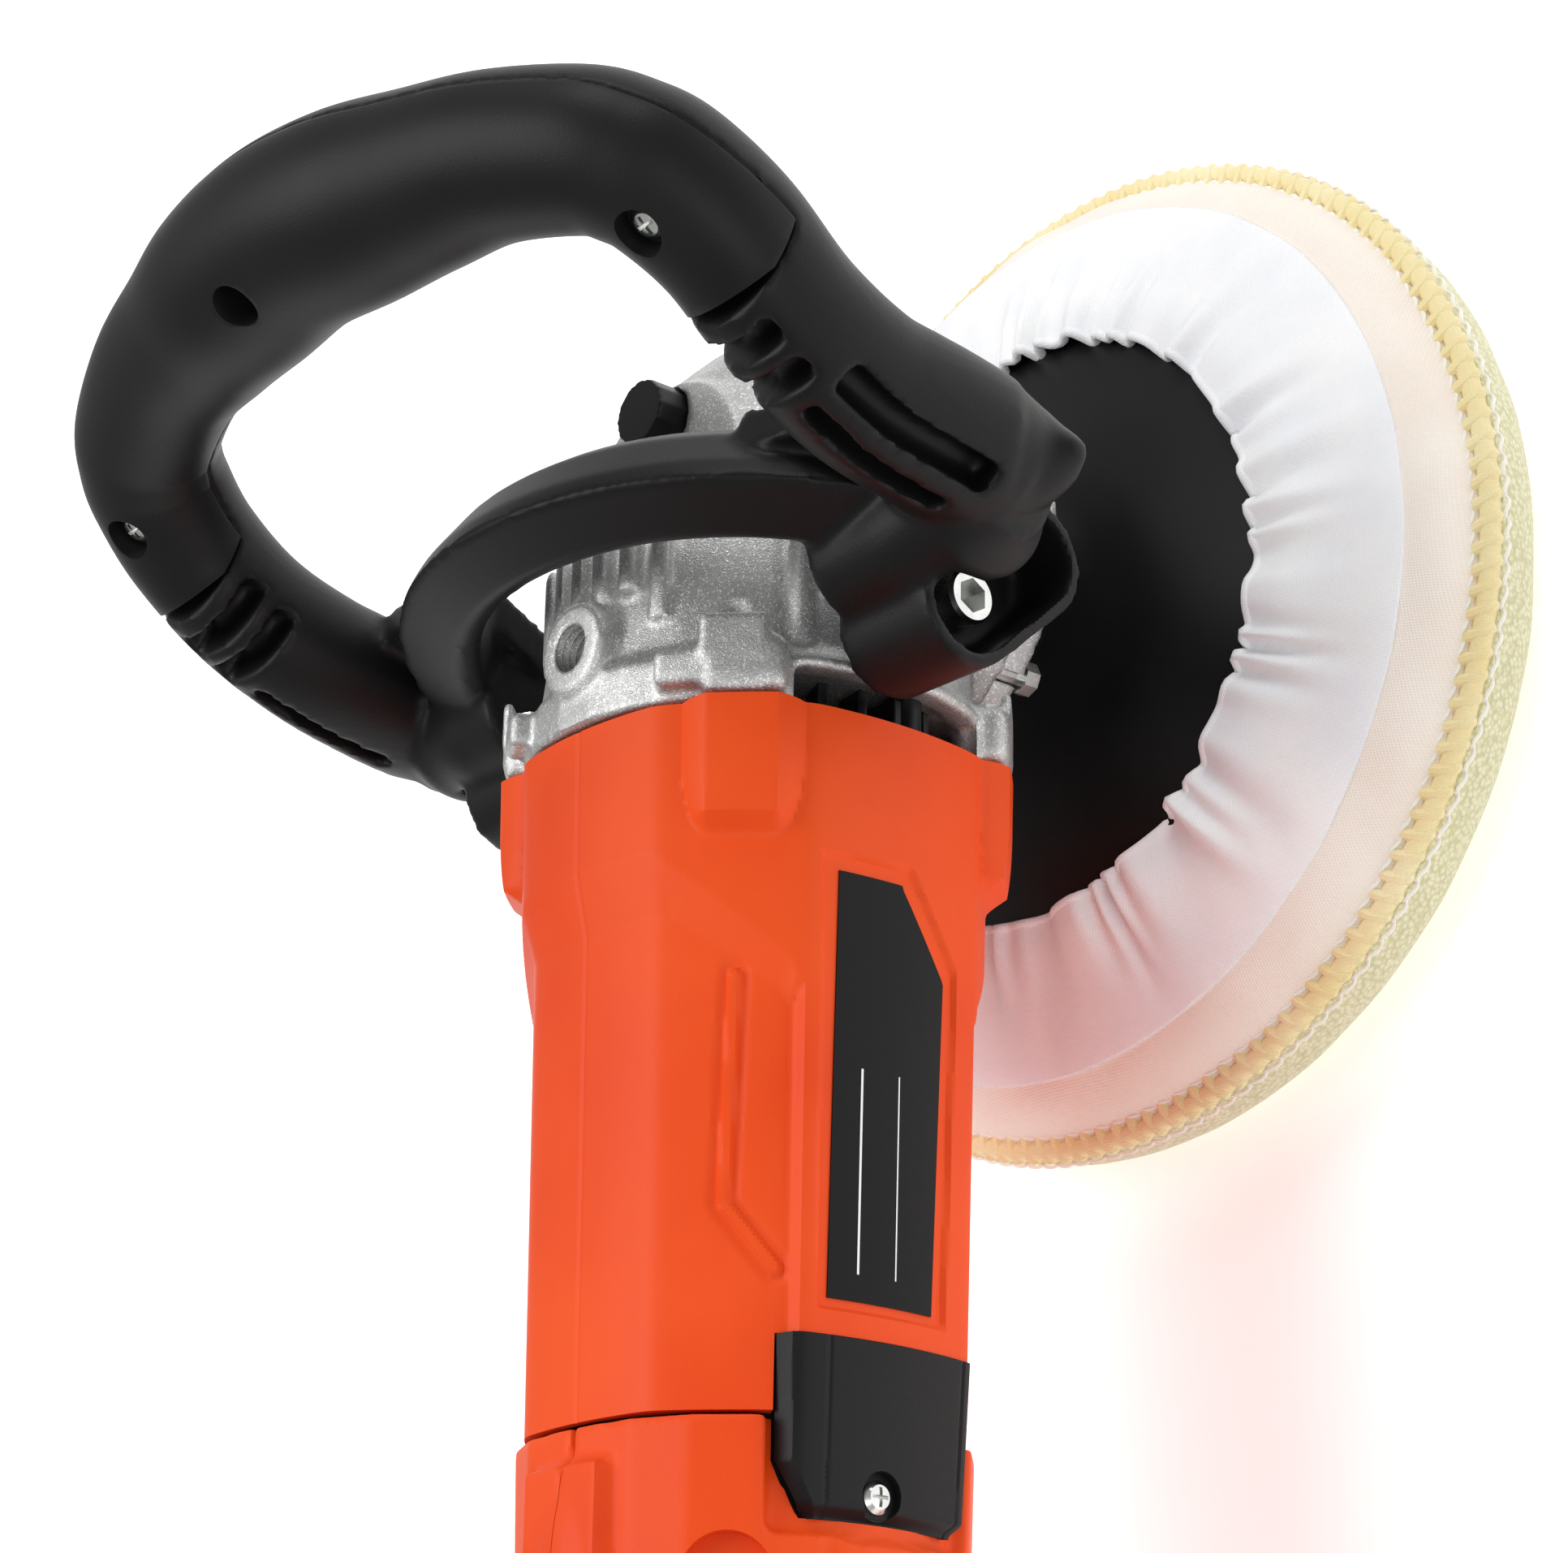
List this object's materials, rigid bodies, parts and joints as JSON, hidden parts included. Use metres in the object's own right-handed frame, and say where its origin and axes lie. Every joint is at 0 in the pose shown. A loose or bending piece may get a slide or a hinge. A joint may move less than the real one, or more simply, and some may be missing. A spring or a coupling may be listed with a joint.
{
  "type": "rotary polisher",
  "caption": "Corded rotary polisher: in-line motor body with a trigger handle, a loop handle over the gear case and a round backing plate with a cloth bonnet.",
  "frame": {"origin": "centre of the bonnet's working face, on the spindle's axis", "axes": "+Z along the spindle away from the work, +X along the motor's axis towards the gear case's nose, +Y to the tool's left"},
  "size_m": [0.468, 0.2068, 0.2277],
  "materials": {
    "orange_nylon": "satin moulded nylon",
    "cast_aluminium": "die cast, blasted, sparkling",
    "bright_zinc": "bright zinc plate",
    "steel": "ground steel",
    "lamination_steel": "stacked laminations",
    "copper": "enamelled copper",
    "brass": "stamped brass",
    "carbon": "pressed carbon",
    "white_foam": "open cell foam",
    "white_cotton": "white woven cotton with a cream knitted pile",
    "gloss_black": "gloss printed film, blank",
    "black_rubber": "moulded rubber",
    "black_nylon": "satin moulded nylon"
  },
  "bodies": {
    "tool_body": {"air_baffle": "black_nylon", "bearing_cover": "cast_aluminium", "brush_bracket": "black_nylon", "brush_cover_left": "black_nylon", "brush_cover_right": "black_nylon", "brush_cover_screw_left": "bright_zinc", "brush_cover_screw_right": "bright_zinc", "brush_holder_left": "brass", "brush_holder_right": "brass", "cable_gland": "black_rubber", "carbon_brush_left": "carbon", "carbon_brush_right": "carbon", "cover_screw_1": "bright_zinc", "cover_screw_2": "bright_zinc", "cover_screw_3": "bright_zinc", "cover_screw_4": "bright_zinc", "field_core": "lamination_steel", "front_motor_bearing": "steel", "gear_case": "cast_aluminium", "grip_cover": "black_nylon", "grip_screw_1": "bright_zinc", "grip_screw_2": "bright_zinc", "grip_screw_3": "bright_zinc", "handle_screw_1": "bright_zinc", "handle_screw_2": "bright_zinc", "handle_screw_3": "bright_zinc", "handle_screw_4": "bright_zinc", "housing_screw_1": "bright_zinc", "housing_screw_2": "bright_zinc", "housing_screw_3": "bright_zinc", "housing_screw_4": "bright_zinc", "loop_bolt_left": "bright_zinc", "loop_bolt_right": "bright_zinc", "loop_handle": "black_nylon", "lower_spindle_bearing": "steel", "motor_housing": "orange_nylon", "rating_label": "gloss_black", "rear_handle_left": "orange_nylon", "rear_handle_right": "orange_nylon", "rear_motor_bearing": "steel", "speed_module": "black_nylon", "switch_body": "black_nylon", "upper_spindle_bearing": "steel"},
    "pad_and_spindle": {"spindle": "steel", "output_gear": "steel", "backing_plate": "black_nylon", "foam_disc": "white_foam", "bonnet": "white_cotton"},
    "armature": {"armature_shaft": "steel", "armature_core": "lamination_steel", "armature_winding": "copper", "commutator": "copper", "cooling_fan": "black_nylon", "pinion_gear": "steel"},
    "trigger": {"trigger": "black_nylon"},
    "lock_on_button": {"lock_on_button": "black_nylon"},
    "speed_dial": {"speed_dial": "black_nylon"},
    "spindle_lock": {"spindle_lock_button": "black_nylon"}
  },
  "joints": [
    {"name": "spindle_spin", "type": "hinge", "parent": "tool_body", "child": "pad_and_spindle", "pos_m": [0, 0, 0.05], "axis": [0, 0, 1], "continuous": true},
    {"name": "armature_spin", "type": "hinge", "parent": "tool_body", "child": "armature", "pos_m": [-0.1, 0, 0.104], "axis": [1, 0, 0], "continuous": true},
    {"name": "trigger_pull", "type": "hinge", "parent": "tool_body", "child": "trigger", "pos_m": [-0.246, 0, 0.085], "axis": [0, 1, 0], "range_deg": [0, 8], "stiffness_Nm_per_rad": 0.8, "springref_deg": -14.32},
    {"name": "lock_on_press", "type": "slide", "parent": "tool_body", "child": "lock_on_button", "axis": [0, -1, 0], "range_m": [0, 0.003], "stiffness_N_per_m": 300, "springref_m": -0.003},
    {"name": "speed_dial_turn", "type": "hinge", "parent": "tool_body", "child": "speed_dial", "pos_m": [-0.202, 0, 0.1335], "axis": [0, 1, 0], "range_deg": [0, 300]},
    {"name": "spindle_lock_press", "type": "slide", "parent": "tool_body", "child": "spindle_lock", "axis": [0, 0, -1], "range_m": [0, 0.005], "stiffness_N_per_m": 400, "springref_m": -0.003}
  ],
  "couplings": [
    {"joint": "armature_spin", "follows": "spindle_spin", "ratio": -4}
  ]
}
